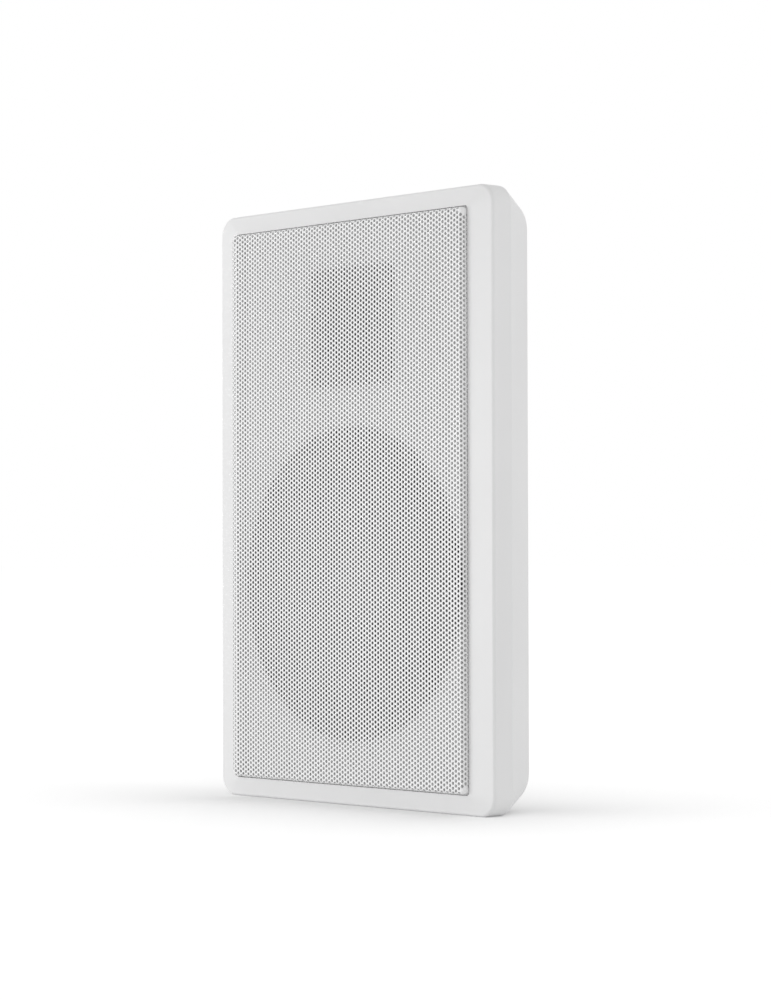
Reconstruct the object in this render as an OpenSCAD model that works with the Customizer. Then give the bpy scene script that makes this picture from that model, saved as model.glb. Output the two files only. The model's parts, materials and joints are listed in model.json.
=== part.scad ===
// Flat wall speaker: a shallow two-way box behind a perforated steel grille.
// Everything is drawn lying on its back, with x to the right, y up the wall and z out from
// the wall. stand() turns it upright, so the wall is the plane y = 0 and the front faces -y.

/* [Box] */
// Width of the box
box_w = 217; // [205:1:235]
// Height of the box
box_h = 321; // [312:1:345]
// Distance from the wall to the outer edge of the front frame
box_d = 38; // [37:0.5:44]
// Depth of the straight rim behind that edge
rim_d = 13; // [9:0.5:18]
// How far each side leans in from the rim to the wall
side_taper = 12.8; // [8:0.2:14]
// How far the top and the bottom lean in from the rim to the wall
end_taper = 4.7; // [3:0.1:7]
// Corner radius seen from the front
front_r = 10.5; // [7:0.5:14]
// Corner radius at the wall
back_r = 16.5; // [12:0.5:20]
// Wall thickness of the rear cabinet
wall_t = 2.6; // [2.2:0.1:3]
// Chamfer round the edge that lies on the wall
back_chamfer = 1.2; // [0.6:0.1:2]

/* [Front frame] */
// Width of the frame beside the grille
bezel_side = 16.2; // [14:0.1:18]
// Width of the frame above and below the grille
bezel_end = 10.5; // [10:0.1:13]
// How far the frame rises from its outer edge to the grille
bezel_rise = 2.3; // [1.5:0.1:3]
// Thickness of the frame at its outer edge
frame_edge = 2.4; // [2.2:0.1:3.4]
// Rounding of the outer edge
edge_round = 2; // [1:0.1:2.1]
// Thickness of the panel that carries the drivers
baffle_t = 3; // [2.6:0.1:3.4]
// How far that panel lies behind the frame's outer edge
baffle_drop = 2; // [1.8:0.1:2.4]
// Thickness of the lip that centres the frame in the cabinet
lip_t = 1.6; // [1.2:0.1:2.2]
// Depth of that lip behind the panel
lip_d = 3; // [2:0.5:5]

/* [Grille] */
// Slit between the grille and the frame at both sides
grille_gap = 0.4; // [0.3:0.1:0.8]
// Slit above and below the grille
end_gap = 0.8; // [0.4:0.1:1.2]
// Height of the ledge that the edge of the grille stands on
seat_h = 0.8; // [0.7:0.1:1.1]
// Width of that ledge
seat_w = 3; // [2.5:0.1:4]
// How far the grille stands proud of the frame beside it
grille_proud = 3.7; // [3.2:0.1:5]
// Thickness of the steel sheet
sheet_t = 0.9; // [0.7:0.1:1.2]
// Outer radius of the folded edge
bend_r = 1.7; // [1.2:0.1:2.4]
// Distance between neighbouring holes
hole_pitch = 15.5; // [15.5:0.1:20]
// Diameter of a hole
hole_d = 9.3; // [6:0.1:10]
// Plain border round the holes
hole_border = 2.2; // [1:0.1:4]

/* [Woofer] */
// Outer diameter of the woofer
woofer_d = 167; // [160:1:172]
// Height of its centre above the middle of the box
woofer_y = -43; // [-48:1:-40]
// Width of its mounting flange
flange_w = 11.1; // [10:0.1:12]
// Thickness of the basket's sheet
basket_t = 1.4; // [1.2:0.1:1.6]
// Diameter of the cone at its outer edge
cone_d = 124.8; // [120:0.2:128]
// Depth of the cone
cone_depth = 9.9; // [8:0.1:12]
// Thickness of the cone
cone_t = 0.6; // [0.5:0.1:1]
// Inner diameter of the voice coil
coil_d = 26; // [24:0.5:28]
// Diameter of the dust cap
cap_d = 40; // [36:1:46]
// Height of the dust cap's dome
cap_h = 8; // [6:0.5:9]
// Thickness of the rubber surround
roll_t = 0.7; // [0.5:0.1:0.9]
// Height of the front gasket ring
gasket_h = 2.4; // [1.5:0.1:2.8]
// Travel of the cone each way
travel = 2; // [1:0.1:2.2]
// Diameter of the magnet cup
yoke_d = 40; // [38:0.5:46]
// Depth of the magnet cup
yoke_h = 9; // [8.6:0.1:9.2]

/* [Tweeter] */
// Side of the square tweeter plate
tweeter_w = 63; // [60:0.5:66]
// Height of the tweeter's centre above the middle of the box
tweeter_y = 94; // [92:1:98]
// Thickness of the plate
tweeter_t = 2.4; // [2:0.1:3]
// Diameter of the dome
dome_d = 25; // [22:0.5:26]
// Height of the dome
dome_h = 4.2; // [3:0.1:4.8]
// Depth of the tweeter's magnet cup
tweeter_cup_h = 11.5; // [10:0.5:14]

/* [Back] */
// Distance between the two keyholes
keyhole_gap = 124; // [112:1:130]
// Height of the keyholes above the middle of the box
keyhole_y = 118; // [112:1:120]
// Diameter of the round end of a keyhole
keyhole_d = 9; // [8:0.5:10]
// Width of a keyhole's slot
keyhole_slot = 4.6; // [4:0.1:5]
// Distance from the round end to the top of the slot
keyhole_run = 8; // [7:0.5:9]
// Depth of the pocket behind a keyhole
keyhole_depth = 6; // [5:0.5:8]
// Width of the terminal tray
tray_w = 56; // [52:1:60]
// Height of the terminal tray
tray_h = 36; // [36:1:40]
// Depth of the terminal tray
tray_d = 13.5; // [13.4:0.1:15]
// Height of the tray's centre above the middle of the box
tray_y = 57; // [56:0.5:58]

/* [Screws] */
// Shank diameter of the screws that close the box
screw_d = 3; // [2.6:0.1:3.4]
// Head diameter of these screws
screw_head_d = 6.4; // [5.8:0.1:6.8]
// Diameter of the posts that the screws pass through
post_d = 8.4; // [8:0.1:9]

/* [Hidden] */
$fn = 64;
// Overlap that makes two shapes of one piece join
eps = 0.05;
// Clearance between pieces that lie inside one another
gap = 0.3;
// Flats in each rounded corner of a lofted shell
corner_steps = 12;

// Levels above the wall
seam_z = box_d - frame_edge;
fold_z = box_d - rim_d;
baffle_z = box_d - baffle_drop;
baffle_back_z = baffle_z - baffle_t;
bezel_top_z = box_d + bezel_rise;
grille_z = bezel_top_z + grille_proud;
flange_z = baffle_z + basket_t;
post_z = 14;

// Opening of the frame and outline of the grille
open_w = box_w - 2 * bezel_side;
open_h = box_h - 2 * bezel_end;
grille_w = open_w - 2 * grille_gap;
grille_h = open_h - 2 * end_gap;
open_r = 1.5;

// Box screws: four near the corners and one at the middle of each side
back_w = box_w - 2 * side_taper;
back_h = box_h - 2 * end_taper;
post_x = back_w / 2 - 9.7;
post_y = back_h / 2 - 9.8;
side_post_y = 0;
screw_spots = [
    [-post_x, post_y], [post_x, post_y], [-post_x, -post_y], [post_x, -post_y],
    [-post_x, side_post_y], [post_x, side_post_y], [0, post_y], [0, -post_y]
];
head_depth = 7;
head_t = 2;
screw_len = 20;

// Woofer
woofer_r = woofer_d / 2;
skirt_r = woofer_r - flange_w;
cone_r = cone_d / 2;
former_r = coil_d / 2;
former_t = 0.25;
winding_t = 0.6;
winding_h = 4.7;
neck_z = flange_z - cone_depth;
roll_r = (skirt_r - 1.6 - cone_r) / 2;
yoke_floor = 2.6;
yoke_z = wall_t + 0.6;
yoke_top_z = yoke_z + yoke_h;
pole_gap = 0.5;
pole_t = 3.4;
ledge_z = yoke_top_z + 4.4;
ledge_r = former_r + 17;
ledge_w = 6.6;
foot_w = 4;
former_low_z = yoke_z + yoke_floor + travel + 0.5;
woofer_screw_r = woofer_r - 4.5;
woofer_screw_d = 3;
woofer_head_d = 6;
windows = 6;

// Tweeter
dome_r = dome_d / 2;
film_t = 0.4;
tweeter_hub_r = 22;
tweeter_rim_z = baffle_z - 2.1 - film_t;
tweeter_yoke_r = dome_r + 5;
tweeter_yoke_z = tweeter_rim_z - tweeter_cup_h;
tweeter_roll = 1.2;
tweeter_screw_x = tweeter_w / 2 - 5.5;

// Crossover
board_w = 46;
board_h = 54;
board_t = 1.6;
board_x = -post_x + 20;
board_y = tray_y;
board_z = 6.5;
board_hole_x = board_w / 2 - 3.5;
board_hole_y = board_h / 2 - 3.5;
board_top_z = board_z + board_t;

// Terminal tray
tray_t = 1.8;
tray_rim = 5;
tray_rim_t = 1.3;
pocket_d = 1.4;
tray_floor_z = tray_d - tray_t;
clip_w = tray_w - 2 * tray_t - 12;
clip_z = 5.2;
clip_plate_z = 10.5;
clip_top_y = tray_y + 1;
clip_low_y = tray_y - tray_h / 2 + tray_t + gap;
lever_x = clip_w / 4 + 0.5;
lever_w = 14;
lever_t = 2.6;
lever_pin_y = tray_y + 10.5;
lever_pin_z = 8;
lever_pin_r = 1.2;
lever_len = 8.6;
ear_t = 2;
pin_gap = 0.05;
wire_r = 2.1;
wire_depth = 5;
wire_y = tray_y - 7;
tray_screw_x = tray_w / 2 + tray_rim / 2;
tray_screw_y = tray_h / 2 - 3;

// Shapes shared by several pieces

module stand() {
    rotate([90, 0, 0]) children();
}

module rounded_rect(w, h, r) {
    square([w - 2 * r, h], center = true);
    square([w, h - 2 * r], center = true);
    for (sx = [-1, 1], sy = [-1, 1])
        translate([sx * (w / 2 - r), sy * (h / 2 - r)]) circle(r);
}

module slab(w, h, r, z, t) {
    translate([0, 0, z]) linear_extrude(t) rounded_rect(w, h, r);
}

// Points round a rectangle of w by h whose corners have radius r
function round_outline(w, h, r) = [
    for (corner = [0 : 3], k = [0 : corner_steps])
        let (a = 90 * (corner + k / corner_steps),
            x = (corner == 0 || corner == 3 ? 1 : -1) * (w / 2 - r),
            y = (corner < 2 ? 1 : -1) * (h / 2 - r))
        [x + r * cos(a), y + r * sin(a)]
];

// Solid through rounded rectangles, each given as [height, width, height of outline, radius]
module loft(levels) {
    m = 4 * (corner_steps + 1);
    top = len(levels) - 1;
    points = [for (v = levels) for (p = round_outline(v[1], v[2], v[3])) [p[0], p[1], v[0]]];
    sides = [for (i = [0 : top - 1], j = [0 : m - 1])
        let (a = i * m + j, b = i * m + (j + 1) % m) [a, a + m, b + m, b]];
    polyhedron(points, concat([[for (j = [0 : m - 1]) j]], sides,
        [[for (j = [m - 1 : -1 : 0]) top * m + j]]), convexity = 4);
}

module ring(r_out, r_in, z, h) {
    translate([0, 0, z]) difference() {
        cylinder(r = r_out, h = h);
        translate([0, 0, -1]) cylinder(r = r_in, h = h + 2);
    }
}

module post(spot, r, z0, z1) {
    translate([spot[0], spot[1], z0]) cylinder(r = r, h = z1 - z0);
}

// A pan-head screw whose head lies against z and whose shank runs the given way
module screw(spot, z, head_r, head_h, shank_r, len, way = 1) {
    translate([spot[0], spot[1], z]) rotate([way > 0 ? 0 : 180, 0, 0]) difference() {
        union() {
            translate([0, 0, -head_h]) cylinder(r1 = head_r * 0.8, r2 = head_r, h = head_h * 0.4);
            translate([0, 0, -head_h * 0.6]) cylinder(r = head_r, h = head_h * 0.6);
            cylinder(r = shank_r, h = len - shank_r);
            translate([0, 0, len - shank_r]) cylinder(r1 = shank_r, r2 = 0.3, h = shank_r);
        }
        for (turn = [0, 90]) rotate(turn)
            translate([0, 0, -head_h]) cube([head_r * 1.1, head_r * 0.22, head_h], center = true);
    }
}

module at_woofer() {
    translate([0, woofer_y, 0]) children();
}

module at_tweeter() {
    translate([0, tweeter_y, 0]) children();
}

function woofer_screw_spot(i) = [
    woofer_screw_r * cos(45 + 90 * i), woofer_y + woofer_screw_r * sin(45 + 90 * i)
];

// Box

// Outline of the box at height z above the wall, drawn smaller by t all round
function box_level(z, t) =
    let (share = min(1, z / fold_z))
    [z, back_w + 2 * side_taper * share - 2 * t, back_h + 2 * end_taper * share - 2 * t,
        back_r + (front_r - back_r) * share - t];

// Box up to the seam, with its edge chamfered at the wall
module outer_form() {
    loft([box_level(0, back_chamfer), box_level(back_chamfer, 0), box_level(fold_z, 0), box_level(seam_z, 0)]);
}

// Space inside the walls
module inner_form() {
    loft([box_level(wall_t, wall_t), box_level(fold_z, wall_t), box_level(seam_z + 1, wall_t)]);
}

module keyhole_cut(x) {
    translate([x, keyhole_y, -1]) {
        cylinder(r = keyhole_d / 2, h = wall_t + 2);
        translate([-keyhole_slot / 2, 0, 0]) cube([keyhole_slot, keyhole_run, wall_t + 2]);
        translate([0, keyhole_run, 0]) cylinder(r = keyhole_slot / 2, h = wall_t + 2);
    }
}

// Closed pocket for a screw head, on the inside of the back
module keyhole_pocket(x, t, z0, z1) {
    w = keyhole_d + 3 + 2 * t;
    h = keyhole_d + keyhole_run + 5 + 2 * t;
    translate([x, keyhole_y + keyhole_run / 2, z0]) linear_extrude(z1 - z0) rounded_rect(w, h, 2 + t);
}

module rear_cabinet() {
    color([0.93, 0.93, 0.93]) stand() difference() {
        union() {
            difference() {
                outer_form();
                inner_form();
            }
            for (spot = screw_spots) post(spot, post_d / 2, wall_t - eps, post_z);
            for (sx = [-1, 1])
                keyhole_pocket(sx * keyhole_gap / 2, 1.6, wall_t - eps, wall_t + keyhole_depth + 1.6);
            for (sx = [-1, 1], sy = [-1, 1]) {
                post([board_x + sx * board_hole_x, board_y + sy * board_hole_y], 3, wall_t - eps, board_z);
                post([sx * tray_screw_x, tray_y + sy * tray_screw_y], 2.4, wall_t - eps, wall_t + 5);
            }
        }
        for (spot = screw_spots) {
            post(spot, screw_head_d / 2 + 0.4, -1, head_depth);
            post(spot, screw_d / 2 + 0.3, 0, post_z + 1);
        }
        for (sx = [-1, 1]) {
            keyhole_cut(sx * keyhole_gap / 2);
            keyhole_pocket(sx * keyhole_gap / 2, 0, wall_t, wall_t + keyhole_depth);
        }
        for (sx = [-1, 1], sy = [-1, 1]) {
            post([board_x + sx * board_hole_x, board_y + sy * board_hole_y], 1.3, wall_t + 0.4, board_z + 1);
            post([sx * tray_screw_x, tray_y + sy * tray_screw_y], 1.1, -1, wall_t + 4);
        }
        translate([0, tray_y, -1]) linear_extrude(wall_t + 9)
            rounded_rect(tray_w + 2 * gap, tray_h + 2 * gap, 2.5);
        translate([0, tray_y, -1]) linear_extrude(pocket_d + 1)
            rounded_rect(tray_w + 2 * (tray_rim + gap), tray_h + 2 * (tray_rim + gap), 4);
        seal_form(0);
    }
}

// Groove and foam strip between the cabinet and the front frame
module seal_form(t) {
    strip_w = 1.1;
    groove_in = (wall_t - strip_w) / 2;
    translate([0, 0, seam_z - 0.8]) difference() {
        linear_extrude(0.8) rounded_rect(box_w - 2 * groove_in, box_h - 2 * groove_in, front_r - groove_in);
        translate([0, 0, -1]) linear_extrude(3)
            rounded_rect(box_w - 2 * (groove_in + strip_w), box_h - 2 * (groove_in + strip_w),
                front_r - groove_in - strip_w);
    }
}

module seal_strip() {
    color([0.25, 0.25, 0.25]) stand() seal_form(0);
}

module cabinet_screws() {
    color([0.7, 0.7, 0.72]) stand() for (spot = screw_spots)
        screw(spot, head_depth, screw_head_d / 2, head_t, screw_d / 2, screw_len);
}

// Front frame: rounded outer edge, slope up to the grille, recessed panel with both drivers' holes

module bezel_form() {
    rounds = 5;
    edge = [for (i = [0 : rounds]) let (a = 90 * i / rounds, d = edge_round * (1 - cos(a)))
        [box_d - edge_round * (1 - sin(a)), box_w - 2 * d, box_h - 2 * d, front_r - d]];
    // The slope runs on past the opening, which is cut out of it afterwards
    more = 0.1;
    loft(concat([[seam_z, box_w, box_h, front_r]], edge, [[bezel_top_z + more * bezel_rise,
        open_w - 2 * more * (bezel_side - edge_round), open_h - 2 * more * (bezel_end - edge_round),
        open_r - more * (front_r - edge_round - open_r)]]));
}

module front_frame() {
    panel_w = box_w - 2 * (wall_t + gap);
    panel_h = box_h - 2 * (wall_t + gap);
    panel_r = front_r - wall_t - gap;
    inner_w = panel_w - 2 * lip_t;
    inner_h = panel_h - 2 * lip_t;
    inner_r = panel_r - lip_t;
    rim_t = 2.2;
    color([0.95, 0.95, 0.95]) stand() difference() {
        union() {
            bezel_form();
            difference() {
                slab(panel_w, panel_h, panel_r, baffle_back_z - lip_d, seam_z + eps - baffle_back_z + lip_d);
                slab(inner_w, inner_h, inner_r, baffle_back_z - lip_d - 1, lip_d + 1);
            }
            for (spot = screw_spots) post(spot, post_d / 2, post_z, baffle_back_z + eps);
            for (i = [0 : 3]) post(woofer_screw_spot(i), 3.6, baffle_back_z - 4, baffle_back_z + eps);
            for (sx = [-1, 1], sy = [-1, 1])
                post([sx * tweeter_screw_x, tweeter_y + sy * tweeter_screw_x], 3.4,
                    baffle_back_z - 5, baffle_back_z + eps);
            for (sx = [-1, 1]) {
                translate([sx * post_x - 0.8, -post_y, baffle_back_z - 5])
                    cube([1.6, 2 * post_y, 5 + eps]);
                translate([-post_x, sx * post_y - 0.8, baffle_back_z - 5])
                    cube([2 * post_x, 1.6, 5 + eps]);
            }
            translate([-post_x, side_post_y - 0.8, baffle_back_z - 5]) cube([2 * post_x, 1.6, 5 + eps]);
        }
        slab(open_w, open_h, open_r, baffle_z + seat_h, 20);
        slab(open_w - 2 * seat_w, open_h - 2 * seat_w, open_r, baffle_z, 20);
        difference() {
            slab(inner_w, inner_h, inner_r, baffle_back_z - 1, box_d - 2.2 - baffle_back_z + 1);
            slab(open_w + 2 * rim_t, open_h + 2 * rim_t, open_r + rim_t, baffle_back_z - 2, 20);
        }
        at_woofer() translate([0, 0, baffle_back_z - 6]) cylinder(r = skirt_r + 0.8, h = 30);
        at_tweeter() translate([0, 0, baffle_back_z - 6]) cylinder(r = tweeter_hub_r + 0.8, h = 30);
        for (spot = screw_spots) post(spot, screw_d / 2 + 0.1, post_z - 1, head_depth + screw_len + 0.6);
        for (i = [0 : 3])
            post(woofer_screw_spot(i), woofer_screw_d / 2 + 0.1, baffle_back_z - 3, baffle_z + 1);
        for (sx = [-1, 1], sy = [-1, 1])
            post([sx * tweeter_screw_x, tweeter_y + sy * tweeter_screw_x], 1.4,
                baffle_back_z - 4, baffle_z + 1);
    }
}

// Grille: one folded sheet with staggered holes in upright columns

module grille_form(t, low) {
    rounds = 3;
    bend = [for (i = [0 : rounds]) let (a = 90 * i / rounds, d = t + (bend_r - t) * (1 - cos(a)))
        [grille_z - bend_r + (bend_r - t) * sin(a), grille_w - 2 * d, grille_h - 2 * d, bend_r + 0.3 - d]];
    loft(concat([[low, grille_w - 2 * t, grille_h - 2 * t, bend_r + 0.3 - t]], bend));
}

// Centres of the holes that fit in a field of w by h
function hole_centres(w, h) = [
    let (step = hole_pitch * sqrt(3) / 2, cols = floor((w - hole_d) / 2 / step))
    for (c = [-cols : cols])
        let (shift = abs(c) % 2 / 2, reach = floor((h - hole_d) / 2 / hole_pitch - shift))
        for (n = [-reach - 2 * shift : reach]) [c * step, (n + shift) * hole_pitch]
];

// Flat sheet of w by h with round holes in staggered upright columns
module perforated(w, h) {
    difference() {
        square([w, h], center = true);
        for (centre = hole_centres(w, h)) translate(centre) circle(d = hole_d, $fn = 14);
    }
}

module grille() {
    field_w = grille_w - 2 * (bend_r + hole_border);
    field_h = grille_h - 2 * (bend_r + hole_border);
    color([0.96, 0.96, 0.96]) stand() {
        difference() {
            grille_form(0, baffle_z + seat_h);
            grille_form(sheet_t, baffle_z);
            translate([-field_w / 2, -field_h / 2, grille_z - sheet_t - 1]) cube([field_w, field_h, 5]);
        }
        translate([0, 0, grille_z - sheet_t]) linear_extrude(sheet_t) perforated(field_w, field_h);
    }
}

// Woofer

module woofer_basket() {
    lean = (flange_z - ledge_z - 1.2) / (skirt_r - 1.6 - ledge_r - ledge_w);
    window_in = ledge_r + ledge_w + 5;
    window_out = skirt_r - 6;
    color([0.2, 0.2, 0.21]) stand() at_woofer() difference() {
        rotate_extrude() polygon([
            [woofer_r, baffle_z], [woofer_r, flange_z], [skirt_r - 1.6, flange_z],
            [ledge_r + ledge_w, ledge_z], [ledge_r, ledge_z], [ledge_r, yoke_top_z + basket_t],
            [former_r + 1.6, yoke_top_z + basket_t], [former_r + 1.6, yoke_top_z],
            [ledge_r + basket_t, yoke_top_z], [ledge_r + basket_t, ledge_z - basket_t],
            [ledge_r + ledge_w + 0.7, ledge_z - basket_t], [skirt_r + 0.3, baffle_z]
        ]);
        for (i = [0 : windows - 1]) rotate(i * 360 / windows) intersection() {
            ring(window_out, window_in, ledge_z - 4, flange_z - ledge_z + 2.5);
            translate([0, 0, ledge_z - 5]) linear_extrude(40) polygon([
                [window_in * 0.6, 0],
                [window_out * 1.3 * cos(21), -window_out * 1.3 * sin(21)],
                [window_out * 1.3 * cos(21), window_out * 1.3 * sin(21)]
            ]);
        }
        for (i = [0 : 3]) rotate(45 + 90 * i) translate([woofer_screw_r, 0, baffle_z - 1])
            cylinder(r = woofer_screw_d / 2 + 0.3, h = 4);
    }
}

module woofer_surround() {
    mid = cone_r + roll_r;
    color([0.13, 0.13, 0.13]) stand() at_woofer() rotate_extrude() {
        translate([mid, flange_z]) intersection() {
            difference() {
                circle(roll_r);
                circle(roll_r - roll_t);
            }
            translate([-20, 0]) square([40, 20]);
        }
        translate([cone_r - foot_w, flange_z]) square([foot_w + roll_t / 2, roll_t]);
        translate([mid + roll_r - roll_t / 2, flange_z]) square([foot_w, roll_t]);
    }
}

module woofer_cone() {
    flat_r = cone_r - foot_w;
    neck_r = former_r + former_t;
    color([0.22, 0.22, 0.23]) stand() at_woofer() rotate_extrude() polygon([
        [neck_r, neck_z], [flat_r, flange_z], [cone_r, flange_z], [cone_r, flange_z - cone_t],
        [flat_r + 0.1, flange_z - cone_t], [neck_r, neck_z - cone_t]
    ]);
}

module woofer_dust_cap() {
    cap_r = cap_d / 2;
    slope = cone_depth / (cone_r - foot_w - former_r - former_t);
    seat_z = neck_z + (cap_r - former_r - former_t) * slope + 0.05;
    dome_radius = (cap_r * cap_r + cap_h * cap_h) / (2 * cap_h);
    color([0.4, 0.4, 0.41]) stand() at_woofer() rotate_extrude() intersection() {
        translate([0, seat_z + cap_h - dome_radius]) difference() {
            circle(dome_radius);
            circle(dome_radius - 0.5);
        }
        translate([0, seat_z]) square([cap_r + 1, cap_h + 1]);
    }
}

module woofer_former() {
    color([0.75, 0.65, 0.4]) stand() at_woofer()
        ring(former_r + former_t, former_r, former_low_z, neck_z + 0.5 - former_low_z);
}

module woofer_winding() {
    color([0.72, 0.4, 0.2]) stand() at_woofer()
        ring(former_r + former_t + winding_t, former_r + former_t, former_low_z, winding_h);
}

module woofer_spider() {
    steps = 24;
    waves = 3;
    r0 = former_r + former_t;
    r1 = ledge_r + 1;
    wave = [for (i = [0 : steps]) let (u = i / steps)
        [r0 + (r1 - r0) * u, ledge_z + 0.9 * (1 - cos(360 * waves * u))]];
    line = concat(wave, [[ledge_r + ledge_w - 0.6, ledge_z]]);
    upper = [for (p = line) p + [0, 0.5]];
    lower = [for (i = [len(line) - 1 : -1 : 0]) line[i]];
    color([0.8, 0.66, 0.35]) stand() at_woofer() rotate_extrude() polygon(concat(upper, lower));
}

module woofer_yoke() {
    color([0.6, 0.6, 0.62]) stand() at_woofer() difference() {
        union() {
            translate([0, 0, yoke_z]) cylinder(r1 = yoke_d / 2 - 1, r2 = yoke_d / 2, h = 1);
            translate([0, 0, yoke_z + 1]) cylinder(r = yoke_d / 2, h = yoke_h - 1);
        }
        translate([0, 0, yoke_z + yoke_floor]) cylinder(r = former_r + former_t + winding_t + pole_gap, h = 20);
    }
}

module woofer_magnet() {
    color([0.45, 0.45, 0.47]) stand() at_woofer() translate([0, 0, yoke_z + yoke_floor])
        cylinder(r = former_r - pole_gap - 0.3, h = yoke_h - yoke_floor - pole_t);
}

module woofer_top_plate() {
    color([0.65, 0.65, 0.67]) stand() at_woofer() translate([0, 0, yoke_top_z - pole_t])
        cylinder(r = former_r - pole_gap, h = pole_t);
}

module woofer_tag_board() {
    color([0.55, 0.35, 0.2]) stand() at_woofer() translate([-11, -yoke_d / 2 - 11, yoke_top_z - 1.5])
        cube([22, 10, 1.5]);
}

module woofer_tags() {
    color([0.8, 0.75, 0.5]) stand() at_woofer() for (sx = [-1, 1])
        translate([sx * 6 - 1.5, -yoke_d / 2 - 16, yoke_top_z - 2.3]) difference() {
            cube([3, 12, 0.8]);
            translate([1.5, 1.8, -1]) cylinder(r = 0.7, h = 3);
        }
}

module woofer_gasket() {
    ring_in = skirt_r + foot_w - 0.8;
    color([0.1, 0.1, 0.1]) stand() at_woofer() difference() {
        ring(woofer_r - 0.4, ring_in, flange_z, gasket_h);
        for (i = [0 : 3]) rotate(45 + 90 * i) translate([woofer_screw_r, 0, flange_z - 1])
            cylinder(r = woofer_head_d / 2 + 0.6, h = 8);
    }
}

module woofer_screws() {
    color([0.15, 0.15, 0.15]) stand() for (i = [0 : 3])
        screw(woofer_screw_spot(i), flange_z, woofer_head_d / 2, 1.8, woofer_screw_d / 2, 6.6, -1);
}

// Tweeter

module tweeter_plate() {
    mouth_r = dome_r + 8;
    throat_r = dome_r + 2.7;
    hub_z = tweeter_rim_z + film_t;
    color([0.14, 0.14, 0.14]) stand() at_tweeter() difference() {
        union() {
            slab(tweeter_w, tweeter_w, 4, baffle_z, tweeter_t);
            translate([0, 0, hub_z]) cylinder(r = tweeter_hub_r, h = baffle_z - hub_z + eps);
        }
        translate([0, 0, hub_z - eps])
            cylinder(r1 = throat_r, r2 = mouth_r, h = baffle_z + tweeter_t - hub_z + 2 * eps);
        for (sx = [-1, 1], sy = [-1, 1])
            translate([sx * tweeter_screw_x, sy * tweeter_screw_x, baffle_z - 1]) {
                cylinder(r = 1.5, h = 5);
                translate([0, 0, 1 + tweeter_t - 1.6]) cylinder(r1 = 1.5, r2 = 3.1, h = 1.61);
            }
    }
}

module tweeter_dome() {
    dome_radius = (dome_r * dome_r + dome_h * dome_h) / (2 * dome_h);
    dome_low = tweeter_rim_z + film_t;
    color([0.3, 0.3, 0.31]) stand() at_tweeter() rotate_extrude() {
        intersection() {
            translate([0, dome_low + dome_h - dome_radius]) difference() {
                circle(dome_radius, $fn = 128);
                circle(dome_radius - film_t, $fn = 128);
            }
            translate([0, dome_low]) square([dome_r, dome_h + 1]);
        }
        translate([dome_r - film_t, tweeter_rim_z]) square([film_t, film_t + 0.1]);
        translate([dome_r + tweeter_roll - film_t / 2, tweeter_rim_z]) intersection() {
            difference() {
                circle(tweeter_roll);
                circle(tweeter_roll - film_t);
            }
            translate([-5, 0]) square([10, 5]);
        }
        translate([dome_r + 2 * tweeter_roll - film_t, tweeter_rim_z])
            square([tweeter_yoke_r - dome_r - 2 * tweeter_roll, film_t]);
    }
}

module tweeter_coil() {
    color([0.72, 0.4, 0.2]) stand() at_tweeter()
        ring(dome_r + 0.5, dome_r - film_t + 0.1, tweeter_rim_z - 3.4, 3.4);
}

module tweeter_yoke() {
    color([0.6, 0.6, 0.62]) stand() at_tweeter() difference() {
        translate([0, 0, tweeter_yoke_z]) cylinder(r = tweeter_yoke_r, h = tweeter_cup_h);
        translate([0, 0, tweeter_yoke_z + 3]) cylinder(r = dome_r + 1.2, h = tweeter_cup_h);
    }
}

module tweeter_magnet() {
    color([0.45, 0.45, 0.47]) stand() at_tweeter() translate([0, 0, tweeter_yoke_z + 3])
        cylinder(r = dome_r - 1.4, h = tweeter_cup_h - 6.6);
}

module tweeter_top_plate() {
    color([0.65, 0.65, 0.67]) stand() at_tweeter() translate([0, 0, tweeter_rim_z - 3.6])
        cylinder(r = dome_r - 0.9, h = 3.3);
}

module tweeter_screws() {
    color([0.15, 0.15, 0.15]) stand() for (sx = [-1, 1], sy = [-1, 1])
        translate([sx * tweeter_screw_x, tweeter_y + sy * tweeter_screw_x, 0]) difference() {
            union() {
                translate([0, 0, baffle_z + tweeter_t - 1.5]) cylinder(r1 = 1.3, r2 = 2.8, h = 1.5);
                translate([0, 0, baffle_z - 6]) cylinder(r = 1.25, h = 6 + tweeter_t - 1.4);
            }
            for (turn = [0, 90]) rotate(turn)
                translate([-1.6, -0.35, baffle_z + tweeter_t - 0.8]) cube([3.2, 0.7, 2]);
        }
}

// Crossover

module crossover_board() {
    color([0.1, 0.4, 0.25]) stand() translate([board_x, board_y, board_z]) linear_extrude(board_t) difference() {
        rounded_rect(board_w, board_h, 1.5);
        for (sx = [-1, 1], sy = [-1, 1]) translate([sx * board_hole_x, sy * board_hole_y]) circle(1.6);
    }
}

module crossover_bobbin() {
    color([0.12, 0.12, 0.12]) stand() translate([board_x + 5, board_y + 9, board_top_z]) {
        cylinder(r = 13.5, h = 1.2);
        cylinder(r = 5, h = 11);
        translate([0, 0, 9.8]) cylinder(r = 13.5, h = 1.2);
    }
}

module crossover_coil() {
    color([0.72, 0.4, 0.2]) stand() translate([board_x + 5, board_y + 9, 0])
        ring(12.6, 5, board_top_z + 1.2, 8.6);
}

module crossover_capacitor() {
    color([0.15, 0.2, 0.5]) stand()
        translate([board_x - 2, board_y - 14.5, board_top_z + 6.05]) rotate([0, 90, 0]) {
            translate([0, 0, -13]) cylinder(r = 6, h = 26);
            translate([0, 0, -15]) cylinder(r = 0.5, h = 30);
        }
}

module crossover_resistor() {
    color([0.9, 0.9, 0.86]) stand() translate([board_x - 16.5, board_y + 9, board_top_z]) {
        translate([-3.5, -10, 0]) cube([7, 20, 6.4]);
        translate([-0.4, -11.6, 3]) cube([0.8, 23.2, 0.8]);
    }
}

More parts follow.
